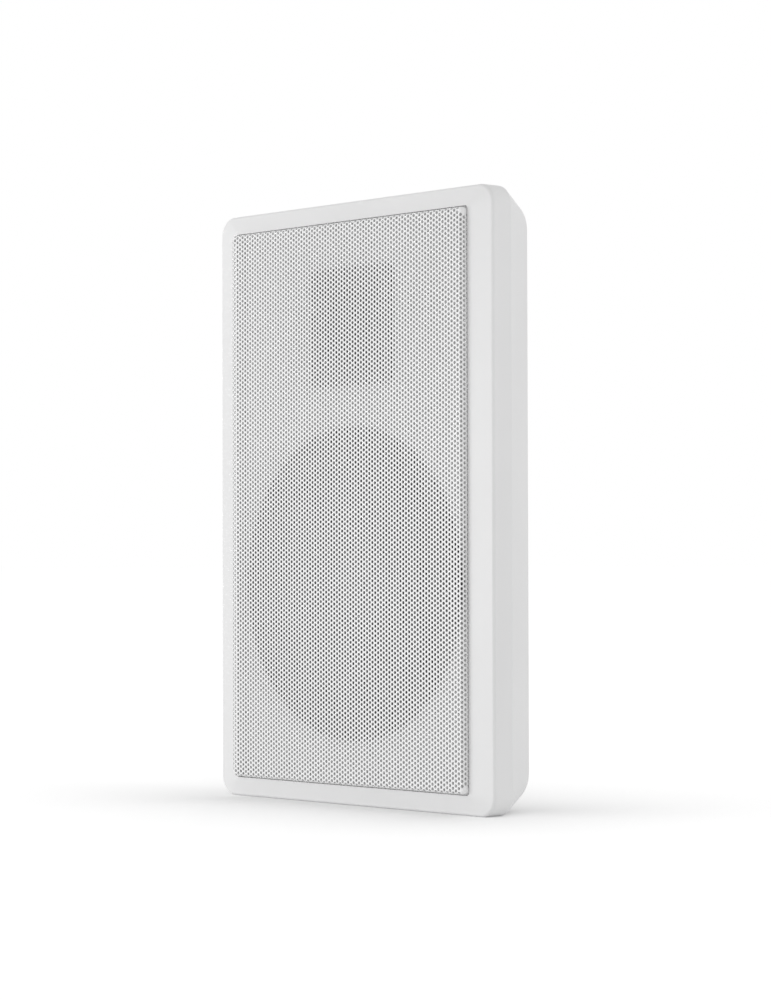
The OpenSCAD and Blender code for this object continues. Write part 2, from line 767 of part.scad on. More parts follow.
module crossover_screws() {
    color([0.7, 0.7, 0.72]) stand() for (sx = [-1, 1], sy = [-1, 1])
        screw([board_x + sx * board_hole_x, board_y + sy * board_hole_y], board_top_z, 2.4, 1.6, 1.2,
            board_top_z - wall_t - 0.6, -1);
}

// Terminals

module terminal_cup() {
    color([0.12, 0.12, 0.12]) stand() difference() {
        union() {
            translate([0, tray_y, 0.1]) linear_extrude(tray_rim_t)
                rounded_rect(tray_w + 2 * tray_rim, tray_h + 2 * tray_rim, 3.7);
            translate([0, tray_y, 0.1]) linear_extrude(tray_d - 0.1) rounded_rect(tray_w, tray_h, 2.2);
        }
        translate([0, tray_y, -1]) linear_extrude(tray_floor_z + 1)
            rounded_rect(tray_w - 2 * tray_t, tray_h - 2 * tray_t, 0.6);
        contact_slots();
        for (sx = [-1, 1], sy = [-1, 1])
            translate([sx * tray_screw_x, tray_y + sy * tray_screw_y, -1]) cylinder(r = 1.4, h = 4);
    }
}

// Slots for the contacts, through the block and the floor of the tray
module contact_slots() {
    for (x = [-lever_x, lever_x])
        translate([x - 1.7, clip_top_y - 2.4, clip_z + 1.4]) cube([3.4, 5, tray_d]);
}

// Block with the wire holes, on a plate that carries the ears of both levers
module terminal_block() {
    color([0.12, 0.12, 0.12]) stand() difference() {
        union() {
            translate([-clip_w / 2, clip_low_y, clip_z])
                cube([clip_w, clip_top_y - clip_low_y, tray_floor_z - clip_z]);
            translate([-clip_w / 2, clip_low_y, clip_plate_z])
                cube([clip_w, lever_pin_y + 3 - clip_low_y, tray_floor_z - clip_plate_z]);
            for (x = [-lever_x, lever_x], side = [-1, 1])
                translate([x + side * (lever_w / 2 + gap + ear_t / 2) - ear_t / 2, lever_pin_y - 3, clip_z])
                    cube([ear_t, 6, clip_plate_z - clip_z + eps]);
        }
        for (x = [-lever_x, lever_x]) {
            translate([x, wire_y, clip_z - 1]) cylinder(r = wire_r, h = wire_depth + 1);
            translate([x - lever_w / 2 - gap - ear_t - 1, lever_pin_y, lever_pin_z]) rotate([0, 90, 0])
                cylinder(r = lever_pin_r + pin_gap, h = lever_w + 2 * (gap + ear_t + 1));
        }
        contact_slots();
    }
}

module terminal_contacts() {
    color([0.8, 0.75, 0.5]) stand() for (x = [-lever_x, lever_x])
        translate([x - 1.5, clip_top_y - 1.9, clip_z + 2.4]) {
            cube([3, 0.7, tray_d - clip_z + 2.6]);
            cube([3, 1.9, 0.7]);
        }
}

module lever(x) {
    stand() translate([x, lever_pin_y, lever_pin_z]) difference() {
        union() {
            rotate([0, 90, 0]) translate([0, 0, -lever_w / 2 - gap - ear_t + 0.2])
                cylinder(r = lever_pin_r, h = lever_w + 2 * (gap + ear_t) - 0.4);
            rotate([0, 90, 0]) translate([0, 0, -lever_w / 2]) cylinder(r = 2.2, h = lever_w);
            translate([-lever_w / 2, -lever_len, -1.9]) cube([lever_w, lever_len, lever_t]);
            translate([-lever_w / 2, -lever_len, -2.7]) cube([lever_w, 3, 1.2]);
        }
        for (i = [0 : 2]) translate([-lever_w / 2 - 1, -lever_len + 4 + i * 1.4, -2.4])
            cube([lever_w + 2, 0.6, 0.9]);
    }
}

module lever_red() {
    color([0.75, 0.08, 0.08]) lever(lever_x);
}

module lever_black() {
    color([0.08, 0.08, 0.08]) lever(-lever_x);
}

module terminal_screws() {
    color([0.7, 0.7, 0.72]) stand() for (sx = [-1, 1], sy = [-1, 1])
        translate([sx * tray_screw_x, tray_y + sy * tray_screw_y, 0]) {
            translate([0, 0, 0.3]) cylinder(r = 1.3, h = 0.4);
            translate([0, 0, 0.3]) cylinder(r = 1, h = wall_t + 3);
        }
}

// Wadding on the back wall, under and beside the woofer's magnet

module damping_pad() {
    pad_w = back_w - 2 * wall_t - 16;
    pad_low = -post_y + 8;
    pad_high = woofer_y + 40;
    color([0.85, 0.85, 0.8]) stand() translate([0, 0, wall_t]) linear_extrude(8) difference() {
        translate([0, (pad_low + pad_high) / 2]) rounded_rect(pad_w, pad_high - pad_low, 6);
        translate([0, woofer_y]) circle(ledge_r + ledge_w + 6);
    }
}

rear_cabinet();
front_frame();
seal_strip();
cabinet_screws();
grille();
woofer_basket();
woofer_surround();
woofer_cone();
woofer_dust_cap();
woofer_former();
woofer_winding();
woofer_spider();
woofer_top_plate();
woofer_magnet();
woofer_yoke();
woofer_tag_board();
woofer_tags();
woofer_gasket();
woofer_screws();
tweeter_plate();
tweeter_dome();
tweeter_coil();
tweeter_top_plate();
tweeter_magnet();
tweeter_yoke();
tweeter_screws();
crossover_board();
crossover_bobbin();
crossover_coil();
crossover_capacitor();
crossover_resistor();
crossover_screws();
terminal_cup();
terminal_block();
terminal_contacts();
lever_red();
lever_black();
terminal_screws();
damping_pad();
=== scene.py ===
"""Flat wall speaker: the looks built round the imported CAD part.

The row frame is in metres: X to the right, -Y out of the front, Z up the wall.
"""

import json
import math

import bpy
import numpy as np
from mathutils import Matrix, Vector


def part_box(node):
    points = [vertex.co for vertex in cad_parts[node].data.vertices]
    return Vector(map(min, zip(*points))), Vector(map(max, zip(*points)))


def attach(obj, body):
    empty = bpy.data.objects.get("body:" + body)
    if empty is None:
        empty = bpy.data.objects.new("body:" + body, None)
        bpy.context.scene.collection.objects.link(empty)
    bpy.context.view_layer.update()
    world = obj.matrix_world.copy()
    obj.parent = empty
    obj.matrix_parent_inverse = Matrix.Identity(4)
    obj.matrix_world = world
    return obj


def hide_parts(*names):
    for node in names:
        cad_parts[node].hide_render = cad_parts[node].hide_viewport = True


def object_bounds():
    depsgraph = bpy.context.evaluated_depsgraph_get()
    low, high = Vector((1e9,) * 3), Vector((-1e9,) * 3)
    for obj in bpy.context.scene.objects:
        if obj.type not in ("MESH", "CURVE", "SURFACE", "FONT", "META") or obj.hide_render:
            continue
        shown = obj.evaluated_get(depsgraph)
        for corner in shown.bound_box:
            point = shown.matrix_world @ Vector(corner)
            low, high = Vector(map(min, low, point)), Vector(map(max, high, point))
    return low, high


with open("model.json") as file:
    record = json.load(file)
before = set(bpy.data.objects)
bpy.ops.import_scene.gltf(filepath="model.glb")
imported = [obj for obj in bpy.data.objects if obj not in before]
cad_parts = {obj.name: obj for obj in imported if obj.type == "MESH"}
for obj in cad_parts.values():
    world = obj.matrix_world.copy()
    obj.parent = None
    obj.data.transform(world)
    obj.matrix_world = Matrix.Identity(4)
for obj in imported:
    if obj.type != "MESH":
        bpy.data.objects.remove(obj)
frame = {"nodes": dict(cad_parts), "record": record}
cad_low, cad_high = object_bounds()
NODES = frame["nodes"]

# Camera: the photo is 771 x 1000 pixels, and its long side is the sensor's width in millimetres
PHOTO_LONG_SIDE = 1000
SENSOR = 36.0
FOCAL_PIXELS = 2929.4
CAMERA_AT = (1.16184, -1.07263, -0.02944)
CAMERA_TURN = math.radians(47.628)
CAMERA_TILT = math.radians(1.138)
CAMERA_ROLL = math.radians(-0.146)

# Perforated sheet of the grille. Its holes were read as 1.5 mm and are wider here, for the tone
HOLE_D = 0.00176
PITCH = 0.0025
COLUMN = PITCH * math.sqrt(3) / 2
SHEET_T = 0.0007
BEND_R = 0.0017
CORNER_R = 0.0003
HOLE_SIDES = 10
SHEET_PARTS = 4
CORNER_TURNS = 6
# Grid lines from the fold to the sheet's edge, and how many of the last ones have no holes
FOLD_LINES = 7
PLAIN_LINES = 2

# Face of the panel that carries the drivers, 36 mm off the wall, which gets painted shade for the
# recess
# behind the grille: where it lies, how far to each side of that the mask reaches, and how much of the
# frame's white is left under the painted shade
PANEL_Y = -0.0356
PANEL_REACH = 0.0008
RECESS_PAINTED_SHADE = 0.72

# Scale of a wave texture times the length of its waves
WAVE_SCALE = 0.31

# Light: powers in watts, and half the side of the floor
KEY = {"place": (-1.2, -2.0, -0.03), "width": 1.4, "height": 0.22, "power": 19}
SIDE_FILL = {"place": (2.3, 0.5, 0.2), "width": 0.7, "height": 0.7, "power": 9.8}
SKY = 0.58
FLOOR_WHITE = 0.92
FLOOR_HALF = 30
# What is seen of the floor is lifted to white, less so near the middle of the object's foot, which
# paints a contact shadow there
FLOOR_LIFT = 0.47
PAINTED_SHADOW_DARK = 0.36
PAINTED_SHADOW_REACH = 0.06
PAINTED_SHADOW_INSET = 0.03


# Materials

class Nodes:
    """A material's node tree, filled one node at a time."""

    def __init__(self, name):
        self.material = bpy.data.materials.new(name)
        self.material.use_nodes = True
        self.tree = self.material.node_tree
        self.shader = self.tree.nodes["Principled BSDF"]
        self.place = self.add("ShaderNodeTexCoord").outputs["Object"]

    def add(self, kind, inputs=None, **settings):
        node = self.tree.nodes.new(kind)
        for key, value in settings.items():
            setattr(node, key, value)
        for key, value in (inputs or {}).items():
            if isinstance(value, bpy.types.NodeSocket):
                self.tree.links.new(value, node.inputs[key])
            else:
                node.inputs[key].default_value = value
        return node

    def noise(self, size, detail=3.0, roughness=0.55, stretch=None):
        """Noise whose features are about size metres across."""
        place = self.place
        if stretch:
            place = self.add("ShaderNodeMapping", {"Vector": place, "Scale": stretch}).outputs[0]
        return self.add("ShaderNodeTexNoise", {
            "Vector": place, "Scale": 1 / size, "Detail": detail, "Roughness": roughness
        }).outputs["Fac"]

    def cells(self, size):
        return self.add("ShaderNodeTexVoronoi", {"Vector": self.place, "Scale": 1 / size},
                        feature="F1").outputs["Distance"]

    def waves(self, length, direction):
        """Bands across the axis X, Y or Z whose waves are length metres long."""
        return self.add("ShaderNodeTexWave", {"Vector": self.place, "Scale": WAVE_SCALE / length},
                        bands_direction=direction).outputs["Fac"]

    def weave(self, thread):
        """Two crossed sets of threads, that many metres apart."""
        return self.calculate("MULTIPLY", self.waves(thread, "X"), self.waves(thread, "Z"))

    def calculate(self, operation, *values):
        return self.add("ShaderNodeMath", dict(enumerate(values)), operation=operation).outputs[0]

    def calculate_vector(self, operation, *values):
        node = self.add("ShaderNodeVectorMath", dict(enumerate(values)), operation=operation)
        return node.outputs["Value" if operation == "LENGTH" else "Vector"]

    def span(self, value, low, high):
        limits = {"Value": value, "To Min": low, "To Max": high}
        return self.add("ShaderNodeMapRange", limits).outputs[0]

    def tint(self, factor, dark, light):
        ramp = self.add("ShaderNodeValToRGB", {"Fac": factor})
        ramp.color_ramp.elements[0].color = (*dark, 1)
        ramp.color_ramp.elements[1].color = (*light, 1)
        ramp.color_ramp.elements[0].position = 0.3
        ramp.color_ramp.elements[1].position = 0.7
        return ramp.outputs["Color"]

    def bump(self, height, depth, under=None):
        inputs = {"Height": height, "Distance": depth, "Strength": 1.0}
        if under is not None:
            inputs["Normal"] = under
        return self.add("ShaderNodeBump", inputs).outputs["Normal"]

    def near(self, axis, middle, reach):
        """1 where the place lies within reach of middle along the axis X, Y or Z, else 0."""
        value = self.add("ShaderNodeSeparateXYZ", {0: self.place}).outputs[axis]
        return self.calculate("COMPARE", value, middle, reach)

    def darken(self, colour, factor, masks):
        """The colour, multiplied by factor where all masks are 1."""
        lost = 1.0 - factor
        for mask in masks:
            lost = self.calculate("MULTIPLY", lost, mask)
        return self.calculate_vector("MULTIPLY", colour, self.calculate("SUBTRACT", 1.0, lost))

    def set(self, **inputs):
        """Sets the shader's sockets: a number or colour stays on the socket, an output is linked."""
        for key, value in inputs.items():
            socket = self.shader.inputs[key.replace("_", " ")]
            if isinstance(value, bpy.types.NodeSocket):
                self.tree.links.new(value, socket)
            elif isinstance(value, tuple):
                socket.default_value = (*value, 1)
            else:
                socket.default_value = value
        return self.material


def shade(colour, factor):
    """The colour times a factor."""
    return tuple(min(1.0, c * factor) for c in colour)


def moulded(name, colour, rough=0.42, mottle=0.012, panel=1.0):
    """Moulded plastic with a fine eroded texture and hardly visible flow clouds.

    Painted shade: the face of the panel behind the grille, in the recess, takes panel times the
    colour.
    """
    n = Nodes(name)
    clouds = n.noise(0.06, 2.0)
    fine = n.noise(0.00035, 2.0)
    tone = n.tint(clouds, shade(colour, 1 - mottle), shade(colour, 1 + mottle))
    # Painted shade in the recess behind the grille, on the face of the panel that carries the drivers
    if panel < 1:
        low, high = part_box("grille")
        masks = [n.near("X", 0, high.x), n.near("Z", 0, high.z), n.near("Y", PANEL_Y, PANEL_REACH)]
        tone = n.darken(tone, panel, masks)
    return n.set(
        Base_Color=tone,
        Roughness=n.span(fine, rough - 0.06, rough + 0.06),
        Specular_IOR_Level=0.4,
        Normal=n.bump(fine, 0.000008),
    )


def powder_coat(name, colour, rough=0.38, metal=0.0):
    """Baked powder coat: smooth, with a shallow orange peel and tiny grains."""
    n = Nodes(name)
    peel = n.noise(0.0011, 1.0)
    grain = n.noise(0.00018, 2.0)
    waves = n.bump(peel, 0.00002)
    return n.set(
        Base_Color=n.tint(n.noise(0.05, 2.0), shade(colour, 0.992), shade(colour, 1.008)),
        Roughness=n.span(grain, rough - 0.05, rough + 0.08),
        Metallic=metal,
        Specular_IOR_Level=0.45,
        Normal=n.bump(grain, 0.000005, under=waves),
    )


def plated(name, colour, rough=0.3):
    """Plated or turned metal with fine marks and a little unevenness in its sheen."""
    n = Nodes(name)
    marks = n.noise(0.0004, 4.0, 0.6, stretch=(1, 1, 6))
    stains = n.noise(0.012, 3.0)
    return n.set(
        Base_Color=n.tint(stains, shade(colour, 0.9), shade(colour, 1.05)),
        Metallic=1.0,
        Roughness=n.span(marks, rough - 0.08, rough + 0.14),
        Normal=n.bump(marks, 0.000006),
    )


def rubber(name, colour):
    """Rubber with a dull skin and a faint bloom."""
    n = Nodes(name)
    skin = n.noise(0.0005, 3.0)
    bloom = n.noise(0.02, 3.0)
    return n.set(
        Base_Color=n.tint(bloom, shade(colour, 0.85), shade(colour, 1.3)),
        Roughness=n.span(skin, 0.54, 0.72),
        Specular_IOR_Level=0.35,
        Normal=n.bump(skin, 0.00001),
    )


def foam(name, colour):
    """Open-cell foam."""
    n = Nodes(name)
    cells = n.cells(0.0007)
    return n.set(
        Base_Color=n.tint(cells, shade(colour, 0.5), shade(colour, 1.6)),
        Roughness=0.95,
        Specular_IOR_Level=0.2,
        Normal=n.bump(cells, 0.00025),
    )


def paper(name, colour, rough=0.75):
    """Pressed paper pulp with a thin coat: short fibres and soft clouds."""
    n = Nodes(name)
    fibres = n.noise(0.0012, 5.0, 0.7, stretch=(1, 1, 0.35))
    clouds = n.noise(0.009, 3.0)
    mixed = n.add("ShaderNodeMix", {"Factor": 0.5, "A": fibres, "B": clouds}).outputs["Result"]
    return n.set(
        Base_Color=n.tint(mixed, shade(colour, 0.8), shade(colour, 1.25)),
        Roughness=n.span(clouds, rough - 0.08, rough + 0.1),
        Specular_IOR_Level=0.3,
        Normal=n.bump(fibres, 0.00006),
    )


def cloth(name, colour, thread=0.0009):
    """Resin-dipped cloth: two crossed sets of threads."""
    n = Nodes(name)
    weave = n.weave(thread)
    return n.set(
        Base_Color=n.tint(weave, shade(colour, 0.6), shade(colour, 1.1)),
        Roughness=0.8,
        Sheen_Weight=0.2,
        Normal=n.bump(weave, 0.00012),
    )


def winding(name, colour, wire=0.0005):
    """Enamelled wire laid turn by turn."""
    n = Nodes(name)
    turns = n.waves(wire, "Y")
    stains = n.noise(0.004, 3.0)
    return n.set(
        Base_Color=n.tint(stains, shade(colour, 0.75), shade(colour, 1.1)),
        Metallic=0.9,
        Roughness=n.span(stains, 0.22, 0.38),
        Coat_Weight=0.4,
        Coat_Roughness=0.15,
        Normal=n.bump(turns, wire * 0.4),
    )


def wadding(name, colour):
    """Loose polyester fibre."""
    n = Nodes(name)
    tufts = n.noise(0.006, 6.0, 0.75)
    fibres = n.noise(0.0012, 6.0, 0.8, stretch=(1, 0.4, 2.5))
    lumps = n.bump(tufts, 0.002)
    return n.set(
        Base_Color=n.tint(fibres, shade(colour, 0.75), shade(colour, 1.12)),
        Roughness=0.95,
        Sheen_Weight=0.5,
        Sheen_Roughness=0.4,
        Normal=n.bump(fibres, 0.0006, under=lumps),
    )


def laminate(name, colour):
    """Lacquered glass-fibre board: the weave shows faintly under the lacquer."""
    n = Nodes(name)
    weave = n.weave(0.001)
    return n.set(
        Base_Color=n.tint(weave, shade(colour, 0.85), shade(colour, 1.15)),
        Roughness=0.28,
        Coat_Weight=0.3,
        Normal=n.bump(weave, 0.00001),
    )


def cement(name, colour):
    """Rough cement with a fine grit."""
    n = Nodes(name)
    grit = n.noise(0.0007, 5.0, 0.7)
    return n.set(
        Base_Color=n.tint(grit, shade(colour, 0.88), shade(colour, 1.05)),
        Roughness=n.span(grit, 0.7, 0.9),
        Normal=n.bump(grit, 0.00008),
    )


def film(name, colour, rough=0.3):
    """Thin plastic film with a slight ripple."""
    n = Nodes(name)
    ripple = n.noise(0.004, 2.0)
    return n.set(
        Base_Color=n.tint(ripple, shade(colour, 0.85), shade(colour, 1.1)),
        Roughness=n.span(ripple, rough - 0.05, rough + 0.1),
        Normal=n.bump(ripple, 0.00003),
    )


WHITE = (0.86, 0.86, 0.862)
SHEET_WHITE = (0.93, 0.93, 0.932)
BLACK = (0.022, 0.022, 0.023)

FINISHES = {
    "white_moulding": moulded("white_moulding", WHITE, panel=RECESS_PAINTED_SHADE),
    "white_painted_steel": powder_coat("white_painted_steel", SHEET_WHITE),
    "black_painted_steel": powder_coat("black_painted_steel", (0.035, 0.035, 0.037), 0.42),
    "black_rubber": rubber("black_rubber", BLACK),
    "black_foam": foam("black_foam", (0.03, 0.03, 0.03)),
    "cone_paper": paper("cone_paper", (0.055, 0.055, 0.06)),
    "cap_paper": paper("cap_paper", (0.16, 0.16, 0.165), 0.6),
    "amber_film": film("amber_film", (0.45, 0.26, 0.07)),
    "copper": winding("copper", (0.62, 0.25, 0.12)),
    "spider_cloth": cloth("spider_cloth", (0.6, 0.42, 0.16)),
    "zinc_steel": plated("zinc_steel", (0.62, 0.63, 0.66)),
    "black_steel": powder_coat("black_steel", (0.02, 0.02, 0.021), 0.35, 0.4),
    "magnet": plated("magnet", (0.5, 0.5, 0.52), 0.24),
    "fibre_board": paper("fibre_board", (0.22, 0.1, 0.04), 0.7),
    "brass": plated("brass", (0.72, 0.62, 0.38), 0.28),
    "black_moulding": moulded("black_moulding", (0.028, 0.028, 0.029), 0.45, mottle=0.05),
    "red_moulding": moulded("red_moulding", (0.5, 0.02, 0.02), 0.38, mottle=0.03),
    "dome_film": cloth("dome_film", (0.07, 0.07, 0.075), 0.0005),
    "green_laminate": laminate("green_laminate", (0.02, 0.15, 0.065)),
    "blue_sleeve": film("blue_sleeve", (0.03, 0.05, 0.3), 0.25),
    "ceramic": cement("ceramic", (0.78, 0.76, 0.7)),
    "wadding": wadding("wadding", (0.74, 0.74, 0.7)),
}


def dress_nodes():
    """Gives every CAD node the finish of its material slot."""
    for part in frame["record"]["subparts"]:
        node = NODES[part["node"]]
        node.data.materials.clear()
        node.data.materials.append(FINISHES[part["material_slot"]])


# Grille: one sheet, perforated all over and folded back along its four edges

class Sheet:
    """The unfolded sheet as a grid of half columns and half pitches, and how it is folded.

    Lengths are measured on the outer face. Grid line 0 is the middle, and the last line each way
    is the sheet's edge. Cells sit on the grid two lines wide, staggered from column to column.
    """

    def __init__(self, low, high):
        self.front = -low.y
        self.flat = np.array([high.x - BEND_R, high.z - BEND_R])
        self.arc = BEND_R * math.pi / 2
        self.edge = self.arc + high.y - low.y - BEND_R
        self.step = np.array([COLUMN / 2, PITCH / 2])
        self.lines = FOLD_LINES
        self.fold_line = np.floor((self.flat - CORNER_R) / self.step).astype(int)
        self.fold_line[0] -= 1 - self.fold_line[0] % 2
        self.last = self.fold_line + self.lines
        self.shape = 2 * self.last + 1

    def where(self, lines):
        """Places on the unfolded sheet of pairs of grid lines."""
        lines = np.asarray(lines)
        on_edge = np.abs(lines) == self.last
        return np.where(on_edge, np.sign(lines) * (self.flat + self.edge), lines * self.step)

    def fold(self, past, inset):
        """Run and drop of a point that lies past the flat face by that length, and its lean."""
        lean = np.clip(past / BEND_R, 0, math.pi / 2)
        run = (BEND_R - inset) * np.sin(lean)
        drop = BEND_R - (BEND_R - inset) * np.cos(lean) + np.maximum(past - self.arc, 0)
        return run, drop, lean

    def place(self, at, inset):
        """Points and outward normals for places on the unfolded sheet, inset under its face."""
        past, way = np.abs(at) - self.flat, np.sign(at)
        sideways = past[..., 0] > np.maximum(past[..., 1], 0)
        upwards = ~sideways & (past[..., 1] > 0)
        run, drop, lean = self.fold(np.maximum(past.max(axis=-1), 0), inset)
        x = np.where(sideways, way[..., 0] * (self.flat[0] + run), at[..., 0])
        z = np.where(upwards, way[..., 1] * (self.flat[1] + run), at[..., 1])
        slope = np.sin(lean)
        normals = [way[..., 0] * sideways * slope, -np.cos(lean), way[..., 1] * upwards * slope]
        return np.stack([x, drop - self.front, z], -1), np.stack(normals, -1)

    def corner(self, side, ring, share, inset):
        """Point and normal on the rounded corner between two folded edges."""
        ends = [self.where((self.fold_line + step) * side) for step in ((ring, 0), (0, ring))]
        past = np.array([abs(ends[a][a]) - self.flat[a] for a in (0, 1)])
        mitre = np.minimum(CORNER_R + past, 0)
        here = past[0] * (1 - share) + past[1] * share
        run, drop, lean = self.fold(max(here, 0), inset)
        radius = CORNER_R + run if here > 0 else max(CORNER_R + here, 0)
        turn = share * math.pi / 2
        out = np.array([math.cos(turn), math.sin(turn)]) * side
        x, z = (self.flat - CORNER_R + mitre) * side + radius * out
        normal = (out[0] * math.sin(lean), -math.cos(lean), out[1] * math.sin(lean))
        return (x, drop - self.front, z), normal


class Faces:
    """Points and triangles of one mesh, with a normal for each corner of each triangle."""

    def __init__(self):
        self.points, self.triangles, self.normals = [], [], []
        self.count = 0

    def add_points(self, points):
        first = self.count
        self.points.append(np.asarray(points).reshape(-1, 3))
        self.count += len(self.points[-1])
        return first

    def add_triangles(self, triangles, normals):
        self.triangles.append(np.asarray(triangles).reshape(-1, 3))
        self.normals.append(np.asarray(normals).reshape(-1, 3))

    def make(self, name):
        triangles = np.concatenate(self.triangles)
        used, index = np.unique(triangles, return_inverse=True)
        points = np.concatenate(self.points)[used]
        mesh = bpy.data.meshes.new(name)
        mesh.from_pydata(points.tolist(), [], index.reshape(-1, 3).tolist())
        mesh.polygons.foreach_set("use_smooth", np.ones(len(triangles), dtype=bool))
        mesh.normals_split_custom_set(np.concatenate(self.normals).tolist())
        mesh.update()
        piece = bpy.data.objects.new(name, mesh)
        bpy.context.collection.objects.link(piece)
        return piece


# Outer and inner face of the sheet: how far under its face, and whether turned over
LAYERS = ((0.0, False), (SHEET_T, True))
# Two triangles of a quad
QUAD = np.array([(0, 1, 2), (0, 2, 3)])
# Grid steps from the middle of a cell to the eight points of its border, counter-clockwise
BORDER = np.array([(1, 0), (1, 1), (0, 1), (-1, 1), (-1, 0), (-1, -1), (0, -1), (1, -1)])


def hole_outline():
    """Points of a regular polygon that has the area of the round hole."""
    turn = 2 * math.pi / HOLE_SIDES
    radius = HOLE_D / 2 * math.sqrt(turn / math.sin(turn))
    angles = np.arange(HOLE_SIDES) * turn
    return radius * np.stack([np.cos(angles), np.sin(angles)], -1)


def cell_triangles(step):
    """Triangles between a cell's border, points 0 to 7, and the polygon of its hole.

    Both go round once, and the one whose next point comes first takes the next triangle.
    """
    sides = len(BORDER)
    outer = np.arctan2(*(BORDER * step).T[::-1]) % (2 * math.pi)
    inner = np.arange(HOLE_SIDES) * 2 * math.pi / HOLE_SIDES
    triangles, a, b = [], 0, 0
    while a < sides or b < HOLE_SIDES:
        next_a = outer[a + 1] if a + 1 < sides else 2 * math.pi + (a >= sides)
        next_b = inner[b + 1] if b + 1 < HOLE_SIDES else 2 * math.pi + (b >= HOLE_SIDES)
        here_a, here_b = a % sides, sides + b % HOLE_SIDES
        if next_a <= next_b:
            triangles.append((here_a, (a + 1) % sides, here_b))
            a += 1
        else:
            triangles.append((here_a, sides + (b + 1) % HOLE_SIDES, here_b))
            b += 1
    return np.array(triangles)


def last_row(sheet, column):
    """Grid line at which the cells of a column end."""
    folded = abs(2 * column) > sheet.fold_line[0]
    return sheet.fold_line[1] if folded else sheet.last[1] - PLAIN_LINES


def cell_centres(sheet, columns):
    """Grid lines of the middles of these columns' cells."""
    centres = []
    for column in columns:
        top = last_row(sheet, column)
        centres += [(2 * column, row) for row in range(-top + 1, top) if (row - column) % 2 == 0]
    return np.array(centres)


def quad(left, low, right, high):
    """Corners of a rectangle, counter-clockwise."""
    return [(left, low), (right, low), (right, high), (left, high)]


def column_quads(sheet, column):
    """Plain quads past the first and last cell of a column, out to the sheet's edge."""
    line = 2 * column
    top = last_row(sheet, column)
    spans = [] if (top - 1 - column) % 2 == 0 else [(top - 1, top)]
    if abs(line) <= sheet.fold_line[0]:
        spans += [(k, k + 1) for k in range(top, sheet.last[1])]
    quads = []
    for low, high in spans:
        for left in (line - 1, line):
            quads += [quad(left, low, left + 1, high), quad(left, -high, left + 1, -low)]
    return quads


def sides_reached(sheet, columns):
    """-1 and 1 for the left and the right edge of the sheet, where these columns reach it."""
    return [way for way in (-1, 1) if 2 * max(way * column for column in columns) + 2 == sheet.last[0]]


def side_quads(sheet, way):
    """Plain quads along the left or the right edge of the sheet."""
    left, right = sorted([way * (sheet.last[0] - 1), way * sheet.last[0]])
    rows = range(-sheet.fold_line[1], sheet.fold_line[1])
    return [quad(left, row, right, row + 1) for row in rows]


def plain_quads(sheet, columns):
    """Corners of all quads without a hole in these columns, as grid lines."""
    quads = [corners for column in columns for corners in column_quads(sheet, column)]
    for way in sides_reached(sheet, columns):
        quads += side_quads(sheet, way)
    return np.array(quads).reshape(-1, 4, 2)


def grid_index(sheet, lines):
    lines = np.asarray(lines) + sheet.last
    return lines[..., 0] * sheet.shape[1] + lines[..., 1]


def add_cells(faces, sheet, centres, first, inset, flip):
    """Perforated cells of one face of the sheet. Returns the points of the holes' rims."""
    rim = sheet.where(centres)[:, None] + hole_outline()
    points, rim_normals = sheet.place(rim, inset)
    hole = faces.add_points(points) + np.arange(len(centres) * HOLE_SIDES).reshape(-1, HOLE_SIDES)
    border = centres[:, None] + BORDER
    border_normals = sheet.place(sheet.where(border), inset)[1]
    index = np.concatenate([grid_index(sheet, border) + first, hole], 1)
    normals = np.concatenate([border_normals, rim_normals], 1)
    pattern = cell_triangles(sheet.step)
    if flip:
        pattern, normals = pattern[:, ::-1], -normals
    faces.add_triangles(index[:, pattern], normals[:, pattern])
    return hole, points


def add_walls(faces, outer, inner, points):
    """Walls of the holes, between their rims on the two faces of the sheet."""
    a, b = np.arange(HOLE_SIDES), (np.arange(HOLE_SIDES) + 1) % HOLE_SIDES
    inwards = points.mean(axis=1, keepdims=True) - points
    inwards /= np.linalg.norm(inwards, axis=-1, keepdims=True)
    first = np.stack([outer[:, a], outer[:, b], inner[:, b]], -1)
    second = np.stack([outer[:, a], inner[:, b], inner[:, a]], -1)
    faces.add_triangles(first, inwards[:, np.stack([a, b, b], -1)])
    faces.add_triangles(second, inwards[:, np.stack([a, b, a], -1)])


def add_quads(faces, index, normals, flip):
    order = QUAD
    if flip:
        order, normals = order[:, ::-1], -normals
    faces.add_triangles(index[:, order], normals[:, order])


def add_plain(faces, sheet, plain, first, inset, flip):
    normals = sheet.place(sheet.where(plain), inset)[1]
    add_quads(faces, grid_index(sheet, plain) + first, normals, flip)


def corner_rings(faces, sheet, side, first, inset):
    """Points and normals of the rings round a corner, from the fold out to the edge."""
    rings, normals = [], []
    for ring in range(sheet.lines + 1):
        ends = [(sheet.fold_line + step) * side for step in ((ring, 0), (0, ring))]
        index = [grid_index(sheet, end) + first for end in ends]
        end_normals = [sheet.place(sheet.where(end), inset)[1] for end in ends]
        if ring == 0:
            rings.append([index[0]] * (CORNER_TURNS + 3))
            normals.append([end_normals[0]] * (CORNER_TURNS + 3))
            continue
        made = [sheet.corner(side, ring, k / CORNER_TURNS, inset) for k in range(CORNER_TURNS + 1)]
        start = faces.add_points([point for point, _ in made])
        rings.append([index[0], *range(start, start + len(made)), index[1]])
        normals.append([end_normals[0], *(normal for _, normal in made), end_normals[1]])
    return np.array(rings), np.array(normals)


def patches(values):
    """The values at the four corners of each patch of a grid."""
    corners = [values[:-1, :-1], values[1:, :-1], values[1:, 1:], values[:-1, 1:]]
    return np.stack(corners, 2).reshape(-1, 4, *values.shape[2:])


